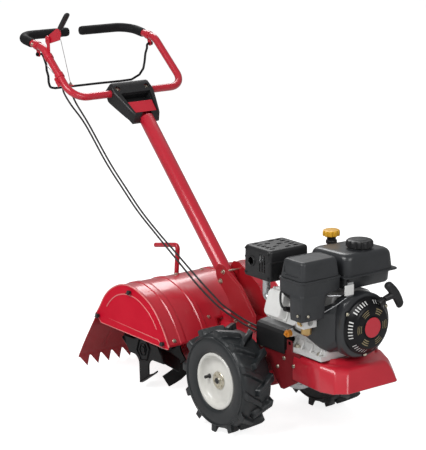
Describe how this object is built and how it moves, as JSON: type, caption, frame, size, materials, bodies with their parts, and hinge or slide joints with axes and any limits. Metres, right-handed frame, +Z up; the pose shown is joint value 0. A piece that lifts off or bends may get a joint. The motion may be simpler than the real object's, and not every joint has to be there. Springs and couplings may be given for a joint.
{
  "type": "tiller",
  "caption": "Walk-behind rear-tine garden tiller with petrol engine, belt and worm drive, lugged wheels, hooded tine rotor and loop handlebar.",
  "frame": {"origin": "on the ground, straight below the middle of the wheel axle", "axes": "+X forward towards the engine and bumper, +Y to the operator's left along the wheel axle, +Z up"},
  "size_m": [1.599, 0.532, 1.2211],
  "materials": {
    "red_paint": "gloss",
    "black_paint": "satin",
    "graphite_paint": "satin",
    "rim_paint": "gloss",
    "black_plastic": "satin",
    "graphite_plastic": "fine grain",
    "yellow_plastic": "satin",
    "orange_plastic": "satin",
    "pale_plastic": "satin",
    "engine_alloy": "as cast",
    "flywheel_alloy": "as cast",
    "bright_steel": "satin",
    "bearing_steel": "ground",
    "zinc_plate": "zinc plated",
    "gear_bronze": "machined",
    "grip_foam": "matte",
    "cable_sheath": "satin",
    "plug_rubber": "satin",
    "belt_rubber": "matte",
    "tyre_rubber": "matte",
    "rope_fibre": "woven"
  },
  "bodies": {
    "chassis": {"transmission_housing": "red_paint", "housing_covers": "red_paint", "shaft_bearings": "bearing_steel", "engine_frame": "red_paint", "front_bumper": "red_paint", "hood_shell": "red_paint", "hood_end_plates": "red_paint", "hood_knobs": "black_plastic", "flap_hinge_pin": "bright_steel", "frame_bolts": "zinc_plate", "handle_bracket": "red_paint", "belt_cover": "black_plastic", "crankcase": "engine_alloy", "cylinder_head": "engine_alloy", "valve_cover": "engine_alloy", "spark_plug": "plug_rubber", "blower_housing": "graphite_paint", "starter_cover": "black_paint", "fuel_tank": "graphite_paint", "oil_fill_tube": "black_plastic", "muffler": "bright_steel", "muffler_guard": "graphite_paint", "air_cleaner_base": "graphite_plastic", "air_cleaner_cover": "graphite_plastic", "carburetor": "engine_alloy", "drive_belt": "belt_rubber"},
    "handle": {"handle_column": "red_paint", "handlebar": "red_paint", "handle_grips": "grip_foam", "console": "black_plastic", "control_brackets": "red_paint", "control_cables": "cable_sheath"},
    "bail": {"clutch_bail": "black_paint", "clutch_wire": "bright_steel"},
    "reverse": {"reverse_lever": "red_paint", "lever_grip": "black_plastic", "reverse_wire": "bright_steel"},
    "wheels": {"wheel_axle": "bright_steel", "wheel_rims": "rim_paint", "tyres": "tyre_rubber", "wheel_pins": "zinc_plate", "wheel_gear": "gear_bronze"},
    "worm": {"worm_shaft": "bearing_steel", "input_pulley": "bright_steel"},
    "crank": {"crankshaft": "bearing_steel", "flywheel": "flywheel_alloy", "engine_pulley": "bright_steel"},
    "rotor": {"tine_shaft": "bright_steel", "tines": "black_paint", "tine_gear": "gear_bronze"},
    "idler": {"idler_arm": "bright_steel"},
    "flap": {"rear_flap": "red_paint"},
    "depth": {"depth_lever": "red_paint"},
    "starter": {"starter_grip": "black_plastic", "starter_rope": "rope_fibre"},
    "fuel_cap": {"fuel_cap": "black_plastic"},
    "oil_cap": {"oil_fill_cap": "yellow_plastic"},
    "dipstick": {"dipstick": "orange_plastic"},
    "throttle": {"throttle_lever": "pale_plastic"},
    "choke": {"choke_lever": "bright_steel"}
  },
  "joints": [
    {"name": "handle_height", "type": "hinge", "parent": "chassis", "child": "handle", "pos_m": [-0.24929, 0, 0.39196], "axis": [0, 1, 0], "range_deg": [-6, 8], "deforming": ["control_cables"]},
    {"name": "clutch_squeeze", "type": "hinge", "parent": "handle", "child": "bail", "pos_m": [-1.003, 0, 1.062], "axis": [0, 1, 0], "range_deg": [0, 70], "deforming": ["clutch_wire"]},
    {"name": "reverse_pull", "type": "hinge", "parent": "handle", "child": "reverse", "pos_m": [-0.952, -0.223, 1.118], "axis": [0, -1, 0], "range_deg": [0, 25], "deforming": ["reverse_wire"]},
    {"name": "wheel_turn", "type": "hinge", "parent": "chassis", "child": "wheels", "pos_m": [0, 0, 0.165], "axis": [0, 1, 0], "continuous": true},
    {"name": "worm_turn", "type": "hinge", "parent": "chassis", "child": "worm", "pos_m": [0, 0, 0.224], "axis": [1, 0, 0], "continuous": true},
    {"name": "tine_turn", "type": "hinge", "parent": "chassis", "child": "rotor", "pos_m": [-0.457, 0, 0.14], "axis": [0, 1, 0], "continuous": true},
    {"name": "crank_turn", "type": "hinge", "parent": "chassis", "child": "crank", "pos_m": [0.2, 0, 0.397], "axis": [1, 0, 0], "continuous": true},
    {"name": "idler_swing", "type": "hinge", "parent": "chassis", "child": "idler", "pos_m": [0.138, 0.112, 0.262], "axis": [1, 0, 0], "range_deg": [0, 5.5]},
    {"name": "flap_lift", "type": "hinge", "parent": "chassis", "child": "flap", "pos_m": [-0.652, 0, 0.226], "axis": [0, 1, 0], "range_deg": [0, 70]},
    {"name": "depth_slide", "type": "slide", "parent": "chassis", "child": "depth", "axis": [0.0844, 0, 0.9964], "range_m": [0, 0.09]},
    {"name": "starter_pull", "type": "slide", "parent": "chassis", "child": "starter", "axis": [0, 0.9272, 0.3746], "range_m": [0, 0.5], "deforming": ["starter_rope"]},
    {"name": "fuel_cap_lift", "type": "slide", "parent": "chassis", "child": "fuel_cap", "axis": [0, 0, 1], "range_m": [0, 0.05]},
    {"name": "oil_cap_lift", "type": "slide", "parent": "chassis", "child": "oil_cap", "axis": [-0.0163, -0.0759, 0.997], "range_m": [0, 0.05]},
    {"name": "dipstick_pull", "type": "slide", "parent": "chassis", "child": "dipstick", "axis": [0, -1, 0], "range_m": [0, 0.08]},
    {"name": "throttle_swing", "type": "hinge", "parent": "chassis", "child": "throttle", "pos_m": [0.39, -0.057, 0.502], "axis": [1, 0, 0], "range_deg": [-20, 20]},
    {"name": "choke_swing", "type": "hinge", "parent": "chassis", "child": "choke", "pos_m": [0.35, -0.142, 0.428], "axis": [1, 0, 0], "range_deg": [0, 35]}
  ],
  "couplings": [
    {"joint": "worm_turn", "follows": "wheel_turn", "ratio": 36},
    {"joint": "tine_turn", "follows": "wheel_turn", "ratio": 5.5385},
    {"joint": "crank_turn", "follows": "wheel_turn", "ratio": 125.33},
    {"joint": "idler_swing", "follows": "clutch_squeeze", "ratio": 0.078571}
  ]
}
